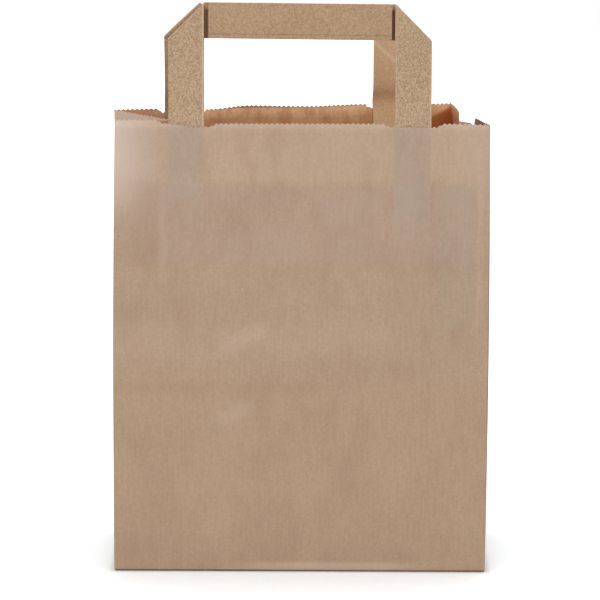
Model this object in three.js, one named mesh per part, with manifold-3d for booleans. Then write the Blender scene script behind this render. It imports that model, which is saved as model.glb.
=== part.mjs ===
// Paper carrier bag: one folded sheet with side gussets and a block bottom, open at the top,
// with two flat tape handles, each held to its wall by a glued patch.
// Millimetres, +Z up, the front faces -Y, the origin is the middle of the base.

import * as THREE from 'three';
import Module from 'manifold-3d';

const manifold = await Module();
manifold.setup();
const { Manifold, Mesh: SolidMesh } = manifold;

// Bag body
const WIDTH = 178; // base, left to right
const DEPTH = 89; // base, front to back; also the gusset's width
const HEIGHT = 216; // base to front rim
const PAPER = 0.16; // thickness of the sheet
const FLAP_LAP = 17; // how far the two bottom flaps overlap
const SEAM_WIDTH = 13; // glued lap of the tube, on the back wall
const SEAM_INSET = 4; // from the seam to the back right corner

// How the mouth stands: a bag just opened, its left gusset still half folded
const BACK_LEFT_FORWARD = 20.5; // the back left rim corner leans towards the front wall
const BACK_LEFT_OUT = 2.8;
const BACK_RIGHT_FORWARD = 2;
const BACK_RIGHT_IN = 15;
const FRONT_LEFT_IN = 0.8; // the front left rim corner stands a little inward
const BACK_BOW = 3; // inward bow of the back rim
const GUSSET_BOW = 1.6; // outward bow of the right gusset's back half
const EDGE_BULGE = 0.7; // outward bulge of the upright folds at mid height
const CREASE_DENT = 0.7; // depth of the crease across the back wall, where the base folds up flat
const CREASE_REACH = 34; // how far above and below the crease the wall is drawn in

// Pinked rim, with a shallow dip at every handle leg
const TOOTH_PITCH = 2.4;
const TOOTH_DEPTH = 0.7;
const DIP_DEPTH = 1.6;
const DIP_WIDTH = 25.5;
const DIP_SLOPE = 3;

// Handles: a folded paper tape with a 45 degree fold at each corner
const TAPE_WIDTH = 17;
const TAPE_THICK = 0.8;
const PLY_THICK = 0.16; // outermost ply of the tape
const PLY_INSET = 2.4; // where that ply ends, from the tape's edge
const HANDLE_SPAN = 124.5; // over the outer edges of the front handle's legs
const BACK_SPAN = 121; // the same on the back handle, whose wall is drawn in at the rim
const FRONT_SHIFT = -0.85; // from the middle of the wall to the middle of its handle
const BACK_SHIFT = 0.2;
const FRONT_TILT = 0.0065; // the front bar falls to the right by this much of its length
const HANDLE_RISE = 57; // top of the handle above the front rim
const LEG_DEPTH = 64; // leg below the rim
const BACK_LEAN = 18; // degrees that the back handle leans forward
const BEND_LENGTH = 12; // length of tape that takes that bend
const FOLD_INSET = TAPE_THICK * Math.SQRT2; // room for the fold's round, along the leg and the bar

// Glued patches over the ends of the legs
const PATCH_WIDTH = 150;
const PATCH_HEIGHT = 37;
const PATCH_BELOW_RIM = 30;
const PATCH_SHIFT = 7.6; // the patch lies off the middle of its handle
const PATCH_RAMP = 1.6; // run of the step where the patch climbs a leg
const GLUE = 0.1; // glue line between two papers

const v3 = (x, y, z) => new THREE.Vector3(x, y, z);
const mix = THREE.MathUtils.lerp;
const range = (n) => Array.from({ length: n + 1 }, (_, i) => i / n);

// A closed solid from shared points and triangles
function toSolid(points, triangles) {
  const flat = new Float32Array(points.flatMap((p) => [p.x, p.y, p.z]));
  const corners = new Uint32Array(triangles.flat());
  const mesh = new SolidMesh({ numProp: 3, vertProperties: flat, triVerts: corners });
  mesh.merge();
  return new Manifold(mesh);
}

function toMesh(name, solid, color, roughness) {
  const { vertProperties, triVerts } = solid.getMesh();
  const geometry = new THREE.BufferGeometry();
  geometry.setAttribute('position', new THREE.BufferAttribute(new Float32Array(vertProperties), 3));
  geometry.setIndex(new THREE.BufferAttribute(new Uint32Array(triVerts), 1));
  geometry.computeVertexNormals();
  const material = new THREE.MeshStandardMaterial({
    color, roughness, metalness: 0, flatShading: true, side: THREE.DoubleSide,
  });
  const mesh = new THREE.Mesh(geometry, material);
  mesh.name = name;
  return mesh;
}

// A band of triangles between two rows of points, matched by their keys from 0 to 1
function band(lower, upper, add) {
  let i = 0;
  let j = 0;
  while (i < lower.length - 1 || j < upper.length - 1) {
    const takeLower = j === upper.length - 1
      || (i < lower.length - 1 && lower[i + 1].key <= upper[j + 1].key + 1e-9);
    if (takeLower) add(lower[i], lower[i + 1], upper[j]);
    else add(lower[i], upper[j + 1], upper[j]);
    if (takeLower) i += 1;
    else j += 1;
  }
}

// Corners of the folded tube, at the base and at the rim
const halfWidth = WIDTH / 2;
const halfDepth = DEPTH / 2;

function rimCorner(base, x, y) {
  const run = Math.hypot(x - base.x, y - base.y);
  return v3(x, y, base.z + Math.sqrt((HEIGHT - base.z) ** 2 - run ** 2));
}

// The gusset's centre crease at the rim lies half a gusset from both corners of its side
function creaseAtRim(apex, front, back, inward) {
  const chord = Math.hypot(back.x - front.x, back.y - front.y);
  const reach = Math.sqrt(Math.max(halfDepth ** 2 - (chord / 2) ** 2, 1));
  const nx = ((back.y - front.y) / chord) * inward;
  const ny = (-(back.x - front.x) / chord) * inward;
  return rimCorner(apex, (front.x + back.x) / 2 + nx * reach, (front.y + back.y) / 2 + ny * reach);
}

const base = {
  frontLeft: v3(-halfWidth, -halfDepth, 0),
  frontRight: v3(halfWidth, -halfDepth, 0),
  backRight: v3(halfWidth, halfDepth, 0),
  backLeft: v3(-halfWidth, halfDepth, 0),
  leftApex: v3(-halfWidth, 0, halfDepth),
  rightApex: v3(halfWidth, 0, halfDepth),
};
const rim = {
  frontLeft: v3(-halfWidth + FRONT_LEFT_IN, -halfDepth, HEIGHT),
  frontRight: v3(halfWidth, -halfDepth, HEIGHT),
  backRight: rimCorner(base.backRight, halfWidth - BACK_RIGHT_IN, halfDepth - BACK_RIGHT_FORWARD),
  backLeft: rimCorner(base.backLeft, -halfWidth - BACK_LEFT_OUT, halfDepth - BACK_LEFT_FORWARD),
};
rim.leftCrease = creaseAtRim(base.leftApex, rim.frontLeft, rim.backLeft, 1);
rim.rightCrease = creaseAtRim(base.rightApex, rim.frontRight, rim.backRight, -1);

// Handles in plan: sign is 1 where the wall's panel runs left to right, as the front's does
const handles = {
  front: { span: HANDLE_SPAN, shift: FRONT_SHIFT, sign: 1, lean: 0, tilt: FRONT_TILT },
  back: { span: BACK_SPAN, shift: BACK_SHIFT, sign: -1, lean: BACK_LEAN, tilt: 0 },
};

// Panels in the order that the sheet runs round the tube
const corner = (name) => [name, name];
const left = ['leftApex', 'leftCrease'];
const right = ['rightApex', 'rightCrease'];
const panels = {
  front: { from: corner('frontLeft'), to: corner('frontRight'), width: WIDTH, bow: 0, columns: 10 },
  rightFront: { from: corner('frontRight'), to: right, width: halfDepth, bow: 0, columns: 5 },
  rightBack: { from: right, to: corner('backRight'), width: halfDepth, bow: GUSSET_BOW, columns: 8 },
  back: { from: corner('backRight'), to: corner('backLeft'), width: WIDTH, bow: -BACK_BOW, columns: 20 },
  leftBack: { from: corner('backLeft'), to: left, width: halfDepth, bow: 0, columns: 6 },
  leftFront: { from: left, to: corner('frontLeft'), width: halfDepth, bow: 0, columns: 6 },
};
panels.front.handle = handles.front;
panels.back.handle = handles.back;

const chordOf = (panel) => rim[panel.from[1]].distanceTo(rim[panel.to[1]]);

// A point of an upright fold or crease
function foldAt([low, high], v) {
  const p = base[low].clone().lerp(rim[high], v);
  const bulge = low === high ? EDGE_BULGE * Math.sin(Math.PI * v) : 0;
  return p.setX(p.x + Math.sign(p.x) * bulge);
}

function dentAt(panel, u, z) {
  if (panel !== panels.back) return 0;
  const fromEdge = Math.min(u, 1 - u) * WIDTH;
  const depth = CREASE_DENT * Math.max(0, 1 - Math.abs(z - halfDepth) / CREASE_REACH);
  return depth * THREE.MathUtils.smoothstep(fromEdge, 0, 12);
}

// A point of the sheet's outer face: u runs along the panel, v from its lower fold to the rim
function onPanel(panel, u, v) {
  const start = foldAt(panel.from, v);
  const end = foldAt(panel.to, v);
  const along = end.clone().sub(start).normalize();
  const outward = v3(along.y, -along.x, 0);
  const p = start.lerp(end, u);
  return p.addScaledVector(outward, panel.bow * v * Math.sin(Math.PI * u) - dentAt(panel, u, p.z));
}

// Pinking and handle dips: how far the edge lies below the rim, for each sample of the edge
function dipAt(distance) {
  const inside = (DIP_WIDTH / 2 - Math.abs(distance)) / DIP_SLOPE;
  return DIP_DEPTH * THREE.MathUtils.clamp(inside + 0.5, 0, 1);
}

// The right gusset is crumpled: drops of its rim from the front corner to the crease, and on from it
const crumples = new Map([
  [panels.rightFront, [[0, 0], [0.4, -0.6], [0.44, 3.2], [0.56, 2.1], [1, 2.9]]],
  [panels.rightBack, [[0, 2.9], [0.12, 1], [0.3, 0], [1, 0]]],
]);

function crumpleAt(crumple, u) {
  const k = Math.max(1, crumple.findIndex(([at]) => at >= u - 1e-9));
  const [[u0, d0], [u1, d1]] = [crumple[k - 1], crumple[k]];
  return mix(d0, d1, THREE.MathUtils.smoothstep(u, u0, u1));
}

function edgeDrop(panel, u) {
  if (crumples.has(panel)) return crumpleAt(crumples.get(panel), u);
  if (!panel.handle) return 0;
  const { span, shift, sign } = panel.handle;
  const a = sign * (u - 0.5) * chordOf(panel) - shift;
  return dipAt(Math.abs(a) - (span - TAPE_WIDTH) / 2);
}

function rimSamples(panel) {
  const teeth = Math.round(panel.width / TOOTH_PITCH);
  return range(teeth * 2).map((u, i) => ({ u, drop: edgeDrop(panel, u) + (i % 2 ? TOOTH_DEPTH : 0) }));
}

// The lap seam is a second thickness of paper on the outside of the back wall
const seamStart = SEAM_INSET / WIDTH;
const seamEnd = (SEAM_INSET + SEAM_WIDTH) / WIDTH;
const seamStep = 0.25 / WIDTH;
const inSeam = (panel, u) => (
  panel === panels.back && u > seamStart + seamStep / 2 && u < seamEnd - seamStep / 2);

function columnsOf(panel) {
  const columns = range(panel.columns);
  if (panel !== panels.back) return columns;
  const edges = [seamStart, seamStart + seamStep, seamEnd - seamStep, seamEnd];
  const clear = columns.filter((u) => edges.every((e) => Math.abs(u - e) > 1 / WIDTH));
  return [...clear, ...edges].sort((a, b) => a - b);
}

// The sheet's outer face as tagged triangles over shared points
function sheetSurface() {
  const points = [];
  const lifted = [];
  const triangles = [];
  const seen = new Map();

  const point = (p, lift) => {
    const key = [p.x, p.y, p.z].map((c) => Math.round(c * 1e4)).join();
    if (!seen.has(key)) {
      seen.set(key, points.length);
      points.push(p);
      lifted.push(false);
    }
    const index = seen.get(key);
    if (lift) lifted[index] = true;
    return index;
  };
  const row = (panel, samples, vOf) => samples.map((u, i) => (
    { key: u, index: point(onPanel(panel, u, vOf(i)), inSeam(panel, u)) }));
  const adder = (tag, flip) => (a, b, c) => {
    const [i, j, k] = flip ? [a.index, c.index, b.index] : [a.index, b.index, c.index];
    if (i !== j && j !== k && k !== i) triangles.push({ corners: [i, j, k], tag });
  };

  const levels = range(15).map((v) => v * (1 - 5 / HEIGHT));
  levels[3] = halfDepth / HEIGHT;
  const foot = {};
  for (const [tag, panel] of Object.entries(panels)) {
    const columns = columnsOf(panel);
    const rows = levels.map((v) => row(panel, columns, () => v));
    for (let r = 1; r < rows.length; r += 1) band(rows[r - 1], rows[r], adder(tag));
    const edge = rimSamples(panel);
    const extra = columns.filter((u) => panel === panels.back && u < seamEnd + 1e-6 && u > 0)
      .filter((u) => edge.every((s) => Math.abs(s.u - u) > 1e-4));
    const samples = [...edge.map((s) => s.u), ...extra].sort((a, b) => a - b);
    const dropAt = (u) => {
      const k = edge.findIndex((s) => s.u >= u - 1e-9);
      if (k <= 0) return edge[0].drop;
      const t = (u - edge[k - 1].u) / (edge[k].u - edge[k - 1].u);
      return mix(edge[k - 1].drop, edge[k].drop, Math.min(t, 1));
    };
    band(rows.at(-1), row(panel, samples, (i) => 1 - dropAt(samples[i]) / HEIGHT), adder(tag));
    foot[tag] = rows[0];
  }

  const reversed = (samples) => [...samples].reverse().map((s) => ({ key: 1 - s.key, index: s.index }));
  band(foot.leftBack, reversed(foot.leftFront), adder('leftFoot', true));
  band(foot.rightFront, reversed(foot.rightBack), adder('rightFoot', true));
  band(foot.front, reversed(foot.back), adder('base', true));
  return { points, lifted, triangles };
}

// Moves every point of the sheet's face inward by the paper, mitred at the folds
function offsetPoint(normals) {
  const m = [0, 0, 0, 0, 0, 0];
  const r = v3(0, 0, 0);
  for (const { n, depth } of normals) {
    m[0] += n.x * n.x; m[1] += n.x * n.y; m[2] += n.x * n.z;
    m[3] += n.y * n.y; m[4] += n.y * n.z; m[5] += n.z * n.z;
    r.addScaledVector(n, -depth);
  }
  const damp = 1e-4;
  const matrix = new THREE.Matrix3().set(
    m[0] + damp, m[1], m[2], m[1], m[3] + damp, m[4], m[2], m[4], m[5] + damp);
  return r.applyMatrix3(matrix.invert());
}

function panelNormals({ points, triangles }) {
  const sums = points.map(() => new Map());
  for (const { corners, tag } of triangles) {
    const [a, b, c] = corners.map((i) => points[i]);
    const n = b.clone().sub(a).cross(c.clone().sub(a));
    for (const i of corners) {
      if (!sums[i].has(tag)) sums[i].set(tag, v3(0, 0, 0));
      sums[i].get(tag).add(n);
    }
  }
  const depthOf = (tag) => (tag === 'base' ? 3 * PAPER : PAPER);
  return sums.map((map) => [...map].map(([tag, n]) => ({ tag, n: n.normalize(), depth: depthOf(tag) })));
}

// The tube and its base as one closed solid: outer face, inner face and the cut edge of the rim
function sheetSolid() {
  const surface = sheetSurface();
  const normals = panelNormals(surface);
  const count = surface.points.length;
  const outer = surface.points.map((p, i) => {
    const back = normals[i].find((entry) => entry.tag === 'back');
    return surface.lifted[i] && back ? p.clone().addScaledVector(back.n, PAPER) : p.clone();
  });
  const inner = surface.points.map((p, i) => p.clone().add(offsetPoint(normals[i])));

  const faces = [];
  const edges = new Map();
  for (const { corners: [a, b, c] } of surface.triangles) {
    faces.push([a, b, c], [a + count, c + count, b + count]);
    for (const [p, q] of [[a, b], [b, c], [c, a]]) {
      if (edges.has(`${q},${p}`)) edges.delete(`${q},${p}`);
      else edges.set(`${p},${q}`, [p, q]);
    }
  }
  for (const [p, q] of edges.values()) {
    faces.push([q, p, p + count], [q, p + count, q + count]);
  }
  return toSolid([...outer, ...inner], faces);
}

// A slab under the base with a hole the shape of the flaps that stay
function slabAround(outlines, bottom, top) {
  const size = WIDTH + DEPTH;
  const shape = new THREE.Shape([[-size, -size], [size, -size], [size, size], [-size, size]]
    .map(([x, y]) => new THREE.Vector2(x, y)));
  let slab = extruded(shape, bottom, top);
  for (const outline of outlines) {
    const flap = new THREE.Shape(outline.map(([x, y]) => new THREE.Vector2(x, y)));
    slab = slab.subtract(extruded(flap, bottom - 1, top + 1));
  }
  return slab;
}

function extruded(shape, bottom, top) {
  const geometry = new THREE.ExtrudeGeometry(shape, { depth: top - bottom, bevelEnabled: false });
  geometry.translate(0, 0, bottom);
  const position = geometry.getAttribute('position');
  const points = range(position.count - 1).map((_, i) => v3().fromBufferAttribute(position, i));
  const triangles = [];
  for (let i = 0; i < points.length; i += 3) triangles.push([i, i + 1, i + 2]);
  return toSolid(points, triangles);
}

// Bottom flap: folded at 45 degrees from both corners of its edge, side is -1 front, +1 back
function flapOutline(side) {
  const reach = halfDepth + FLAP_LAP / 2;
  const spread = 3; // the outline runs past the wall so that the wall's foot is kept
  return [
    [-halfWidth - spread, side * (halfDepth + spread)],
    [halfWidth + spread, side * (halfDepth + spread)],
    [halfWidth - reach, side * (halfDepth - reach)],
    [-halfWidth + reach, side * (halfDepth - reach)],
  ];
}

// Block bottom: the front flap lies over the back flap, and both over the side triangles
function bagBody() {
  const underFront = slabAround([flapOutline(-1)], -1, PAPER);
  const underBack = slabAround([flapOutline(-1), flapOutline(1)], -1, 2 * PAPER);
  return sheetSolid().subtract(underFront).subtract(underBack);
}

// A prism with rows of the same section, each point placed by its own function
function loft(sections) {
  const size = sections[0].length;
  const points = sections.flat();
  const faces = [];
  for (let r = 1; r < sections.length; r += 1) {
    for (let k = 0; k < size; k += 1) {
      const a = (r - 1) * size + k;
      const b = (r - 1) * size + ((k + 1) % size);
      faces.push([a, b, b + size], [a, b + size, a + size]);
    }
  }
  const ends = THREE.ShapeUtils.triangulateShape(flatten(sections[0]), []);
  const last = (sections.length - 1) * size;
  for (const [a, b, c] of ends) faces.push([a, c, b], [a + last, b + last, c + last]);
  const solid = toSolid(points, faces);
  return solid.volume() > 0 ? solid : toSolid(points, faces.map(([a, b, c]) => [a, c, b]));
}

// The outline of a flat section in its own plane, so that its end can be closed
function flatten(section) {
  const normal = v3(0, 0, 0);
  section.forEach((p, i) => normal.add(p.clone().sub(section[0])
    .cross(section[(i + 1) % section.length].clone().sub(section[0]))));
  const turn = new THREE.Quaternion().setFromUnitVectors(normal.normalize(), v3(0, 0, 1));
  return section.map((p) => p.clone().sub(section[0]).applyQuaternion(turn))
    .map((p) => new THREE.Vector2(p.x, p.y));
}

// Handle coordinates: a along the wall, b up from the rim, c from the wall's inner face inward.
// Below the rim the tape lies on the wall; above its bend it lies in a plane of its own.
function handlePlace(panel) {
  const { span, shift, sign, lean, tilt } = panel.handle;
  const chord = chordOf(panel);
  const onWall = (a, b) => onPanel(panel, 0.5 + (sign * (a + shift)) / chord, 1 + b / HEIGHT);
  const wallNormal = (a, b) => {
    const du = onWall(a + 0.5, b).sub(onWall(a - 0.5, b));
    const dv = onWall(a, b + 0.5).sub(onWall(a, b - 0.5));
    return du.cross(dv).normalize().multiplyScalar(-sign);
  };
  const leg = (span - TAPE_WIDTH) / 2;
  const across = onWall(leg, 0).sub(onWall(-leg, 0)).setZ(0).normalize();
  const middle = onWall(leg, 0).add(onWall(-leg, 0)).multiplyScalar(0.5);
  const angle = THREE.MathUtils.degToRad(lean);
  const up = v3(0, sign * Math.sin(angle), Math.cos(angle));
  const facing = up.clone().cross(across).normalize().multiplyScalar(sign);
  return (a, b, c) => {
    const blend = THREE.MathUtils.smoothstep(b, 0, BEND_LENGTH);
    const flat = middle.clone().addScaledVector(across, a).addScaledVector(up, b - tilt * a * blend);
    const normal = wallNormal(a, Math.min(b, 0)).lerp(facing, blend).normalize();
    return onWall(a, b).lerp(flat, blend).addScaledVector(normal, PAPER + GLUE + c);
  };
}

// Leg of the tape: straight, with its top cut along the corner fold; side is -1 left, +1 right
function tapeLeg(place, span, side) {
  const outer = (side * span) / 2;
  const inner = outer - side * TAPE_WIDTH;
  const low = range(12).map((t) => -LEG_DEPTH * (1 - t));
  const bend = range(8).slice(1).map((t) => BEND_LENGTH * t);
  const rows = [...low, ...bend].map((b) => [b, b]);
  rows.push([HANDLE_RISE - TAPE_WIDTH - FOLD_INSET, HANDLE_RISE - FOLD_INSET]);
  return loft(rows.map(([bOuter, bInner]) => [
    place(outer, bOuter, 0), place(inner, bInner, 0),
    place(inner, bInner, TAPE_THICK), place(outer, bOuter, TAPE_THICK),
  ]));
}

// Bar of the tape, behind the legs, with the free edge of its outermost ply
function tapeBar(place, span) {
  const low = HANDLE_RISE - TAPE_WIDTH;
  const trapezoid = (b, c) => {
    const a = span / 2 - (b - low) - FOLD_INSET;
    return [place(-a, b, c), place(a, b, c)];
  };
  const plate = (bLow, bHigh, c0, c1) => {
    const [p, q] = trapezoid(bLow, c0);
    const [s, r] = trapezoid(bHigh, c0);
    const [p1, q1] = trapezoid(bLow, c1);
    const [s1, r1] = trapezoid(bHigh, c1);
    return loft([[p, q, r, s], [p1, q1, r1, s1]]);
  };
  const core = plate(low, HANDLE_RISE, TAPE_THICK + PLY_THICK, 2 * TAPE_THICK);
  const ply = plate(low + PLY_INSET, HANDLE_RISE, TAPE_THICK - 0.02, TAPE_THICK + PLY_THICK + 0.02);
  return core.add(ply);
}

// Rounded fold where the leg turns into the bar
function cornerFold(place, span, side) {
  const low = HANDLE_RISE - TAPE_WIDTH;
  const steps = 8;
  const overlap = 0.3;
  const ring = (end) => {
    const at = (along, out, c) => place(
      side * (span / 2 - (along - out) / Math.SQRT2), low + (along + out) / Math.SQRT2, c);
    const length = end ? TAPE_WIDTH * Math.SQRT2 : 0;
    const trim = end ? -1 : 1;
    const arc = range(steps).map((t) => {
      const out = TAPE_THICK * (Math.sin(Math.PI * t) - 1);
      return at(length + trim * out, out, TAPE_THICK * (1 - Math.cos(Math.PI * t)));
    });
    const inner = -TAPE_THICK - overlap;
    const inside = length + trim * (inner + 2 * overlap);
    return [...arc, at(inside, inner, 2 * TAPE_THICK), at(inside, inner, 0)];
  };
  return loft([ring(false), ring(true)]);
}

function tapeHandle(panel) {
  const place = handlePlace(panel);
  const { span } = panel.handle;
  return Manifold.union([
    tapeLeg(place, span, -1), tapeLeg(place, span, 1), tapeBar(place, span),
    cornerFold(place, span, -1), cornerFold(place, span, 1),
  ]);
}

// The patch lies on the wall and steps over both legs; c values are from the wall's inner face
function patchPath({ span, sign }) {
  const outer = span / 2;
  const inner = outer - TAPE_WIDTH;
  const over = TAPE_THICK + GLUE;
  const clear = 0.25;
  const step = [
    [inner - clear - PATCH_RAMP, 0], [inner - clear, over],
    [outer + clear, over], [outer + clear + PATCH_RAMP, 0],
  ];
  const mirrored = [...step].reverse().map(([a, c]) => [-a, c]);
  const shift = sign * PATCH_SHIFT;
  return spread([[shift - PATCH_WIDTH / 2, 0], ...mirrored, ...step, [shift + PATCH_WIDTH / 2, 0]], 10);
}

// Adds points so that no stretch of a path is longer than the limit
function spread(path, limit) {
  return path.flatMap(([a, c], i) => {
    if (i === 0) return [[a, c]];
    const [a0, c0] = path[i - 1];
    const parts = Math.ceil((a - a0) / limit);
    return range(parts).slice(1).map((t) => [mix(a0, a, t), mix(c0, c, t)]);
  });
}

function patchSheet(panel) {
  const place = handlePlace(panel);
  const path = patchPath(panel.handle);
  const levels = range(4).map((t) => -PATCH_BELOW_RIM - PATCH_HEIGHT * (1 - t));
  const thicken = path.map(([a, c], i) => {
    const before = path[Math.max(i - 1, 0)];
    const after = path[Math.min(i + 1, path.length - 1)];
    const d0 = new THREE.Vector2(a - before[0], c - before[1]);
    const d1 = new THREE.Vector2(after[0] - a, after[1] - c);
    const n = (d) => new THREE.Vector2(-d.y, d.x).normalize();
    const sum = n(d0.length() ? d0 : d1).add(n(d1.length() ? d1 : d0)).normalize();
    const stretch = PAPER / Math.max(sum.dot(n(d1.length() ? d1 : d0)), 0.5);
    return [a + sum.x * stretch, c + sum.y * stretch];
  });
  const sections = levels.map((b) => [
    ...path.map(([a, c]) => place(a, b, c)), ...thicken.map(([a, c]) => place(a, b, c)).reverse(),
  ]);
  return ribbon(sections, path.length);
}

// A thin sheet from rows of outlines, closed at both ends by quads between its two faces
function ribbon(sections, count) {
  const size = sections[0].length;
  const faces = [];
  for (let r = 1; r < sections.length; r += 1) {
    for (let k = 0; k < size; k += 1) {
      const a = (r - 1) * size + k;
      const b = (r - 1) * size + ((k + 1) % size);
      faces.push([a, b, b + size], [a, b + size, a + size]);
    }
  }
  const last = (sections.length - 1) * size;
  for (let k = 0; k < count - 1; k += 1) {
    const [a, b, c, d] = [k, k + 1, size - 2 - k, size - 1 - k];
    faces.push([a, c, b], [a, d, c], [a + last, b + last, c + last], [a + last, c + last, d + last]);
  }
  const solid = toSolid(sections.flat(), faces);
  return solid.volume() > 0 ? solid : toSolid(sections.flat(), faces.map(([a, b, c]) => [a, c, b]));
}

const bag = new THREE.Group();
bag.name = 'paper_carrier_bag';
bag.add(
  toMesh('bag_body', bagBody(), 0xb09580, 0.85),
  toMesh('front_handle', tapeHandle(panels.front), 0xb8a082, 0.85),
  toMesh('back_handle', tapeHandle(panels.back), 0xb8a082, 0.85),
  toMesh('front_patch', patchSheet(panels.front), 0xb39a7c, 0.88),
  toMesh('back_patch', patchSheet(panels.back), 0xb39a7c, 0.88),
);

export default bag;
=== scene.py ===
from math import cos, pi, radians, sin, sqrt

import bmesh
import bpy
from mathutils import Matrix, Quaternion, Vector, noise


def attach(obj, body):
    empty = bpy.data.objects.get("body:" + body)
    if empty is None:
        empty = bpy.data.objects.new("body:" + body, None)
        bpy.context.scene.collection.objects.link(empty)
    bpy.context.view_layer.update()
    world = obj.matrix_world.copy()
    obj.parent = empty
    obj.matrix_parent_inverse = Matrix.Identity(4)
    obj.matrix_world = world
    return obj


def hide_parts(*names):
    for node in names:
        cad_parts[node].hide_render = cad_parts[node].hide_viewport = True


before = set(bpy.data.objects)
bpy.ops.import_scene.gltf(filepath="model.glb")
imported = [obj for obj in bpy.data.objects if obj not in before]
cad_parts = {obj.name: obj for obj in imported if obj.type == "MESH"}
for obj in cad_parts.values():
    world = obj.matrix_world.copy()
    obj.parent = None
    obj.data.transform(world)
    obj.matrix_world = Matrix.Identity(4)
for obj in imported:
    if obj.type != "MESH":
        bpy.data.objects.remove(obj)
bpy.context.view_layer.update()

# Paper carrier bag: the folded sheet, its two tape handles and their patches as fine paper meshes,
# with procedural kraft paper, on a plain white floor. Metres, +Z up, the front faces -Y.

MM = 0.001

# Bag body: sizes of the solids, with the rim and its dips closer to the photo
WIDTH, DEPTH, HEIGHT = 178 * MM, 89 * MM, 216 * MM
PAPER = 0.16 * MM
FLAP_LAP = 17 * MM
SEAM_WIDTH, SEAM_INSET, SEAM_BELOW_RIM, SEAM_EDGE = 13 * MM, 4 * MM, 1.2 * MM, 0.02 * MM
BACK_LEFT_FORWARD, BACK_LEFT_OUT = 20.5 * MM, 2.8 * MM
BACK_RIGHT_FORWARD, BACK_RIGHT_IN = 2 * MM, 15 * MM
FRONT_LEFT_IN = 0.8 * MM
BACK_BOW, GUSSET_BOW = 3 * MM, 1.6 * MM
EDGE_BULGE = 0.7 * MM
CREASE_DENT, CREASE_REACH = 0.7 * MM, 34 * MM
TOOTH_PITCH, TOOTH_DEPTH = 2.4 * MM, 0.7 * MM
RIM_RAISE = 0.5 * MM
DIP_DEPTH = 1.6 * MM
DIPS = {"front": (25.5 * MM, 3 * MM), "back": (22 * MM, 1.6 * MM)}  # width, slope
FOOT_RADIUS = 1.1 * MM

# Handles and patches: sizes of the solids, with spans, shifts, tilt and lean closer to the photo
TAPE_WIDTH, TAPE_THICK = 17 * MM, 0.8 * MM
PLY_THICK, PLY_INSET, PLY_END, PLY_PROUD = 0.16 * MM, 2.4 * MM, 1.6 * MM, 0.5 * MM
HANDLE_SPAN, BACK_SPAN, HANDLE_RISE, LEG_DEPTH = 124.1 * MM, 120 * MM, 57 * MM, 64 * MM
FRONT_SHIFT, BACK_SHIFT = -1.2 * MM, 1.2 * MM
FRONT_TILT, BACK_TILT = 0.0065, 0.013
BACK_LEAN, BEND_LENGTH = radians(19.6), 12 * MM
FOLD_INSET = TAPE_THICK * sqrt(2)
FOLD_TUCK, FOLD_TRIM, FOLD_SKIN = 0.3 * MM, 0.6 * MM, 0.05 * MM
PATCH_WIDTH, PATCH_HEIGHT, PATCH_BELOW_RIM = 150 * MM, 37 * MM, 30 * MM
PATCH_SHIFT, PATCH_RAMP, PATCH_CLEAR = 7.6 * MM, 1.6 * MM, 0.25 * MM
GLUE = 0.1 * MM

# Unevenness of handled paper, in the scene alone; CALM is how far from a fold or the floor it grows
WALL_WAVE, SLOW_WAVES, QUICK_WAVES, QUICK_SHARE = 0.45 * MM, 28, 85, 0.28
FOLD_CALM, FOOT_CALM, CREASE_CALM, MARKS_CALM = 14 * MM, 25 * MM, 12 * MM, 5 * MM
LINE_DENT, LINE_HEIGHT, LINE_REACH = 0.22 * MM, 88 * MM, 2.5 * MM
LINE_END, LINE_FADE = 20 * MM, 60 * MM
PATCH_RELIEF, PATCH_SLOPE, LEG_RELIEF, LEG_SLOPE = 0.06 * MM, 2 * MM, 0.10 * MM, 3 * MM
BUMP_RELIEF, BUMP_RADIUS, BUMP_SLOPE = 0.5 * MM, 12 * MM, 10 * MM
BUMPS = [(-30 * MM, 112 * MM), (-33 * MM, 78 * MM)]  # x, z
LEG_SWAY, BAR_WAVE = 0.35 * MM, 0.3 * MM

half_w, half_d = WIDTH / 2, DEPTH / 2
patch_top = HEIGHT - PATCH_BELOW_RIM
patch_low = patch_top - PATCH_HEIGHT
leg_at = (HANDLE_SPAN - TAPE_WIDTH) / 2


def smooth(t):
    t = min(max(t, 0.0), 1.0)
    return t * t * (3 - 2 * t)


def mix(a, b, t):
    return a + (b - a) * t


def between(table, u):
    """Smooth value at u of a table of (position, value)."""
    for (u0, d0), (u1, d1) in zip(table, table[1:]):
        if u <= u1:
            return mix(d0, d1, smooth((u - u0) / (u1 - u0)))
    return table[-1][1]


# Corners of the folded tube at the base and at the rim

def rim_corner(foot, x, y):
    run = (Vector((x, y)) - foot.xy).length
    return Vector((x, y, foot.z + sqrt((HEIGHT - foot.z) ** 2 - run ** 2)))


def crease_at_rim(apex, front, back, inward):
    chord = (back - front).xy
    reach = sqrt(max(half_d ** 2 - chord.length ** 2 / 4, MM ** 2))
    side = Vector((chord.y, -chord.x)).normalized() * inward
    middle = (front.xy + back.xy) / 2 + side * reach
    return rim_corner(apex, middle.x, middle.y)


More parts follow.
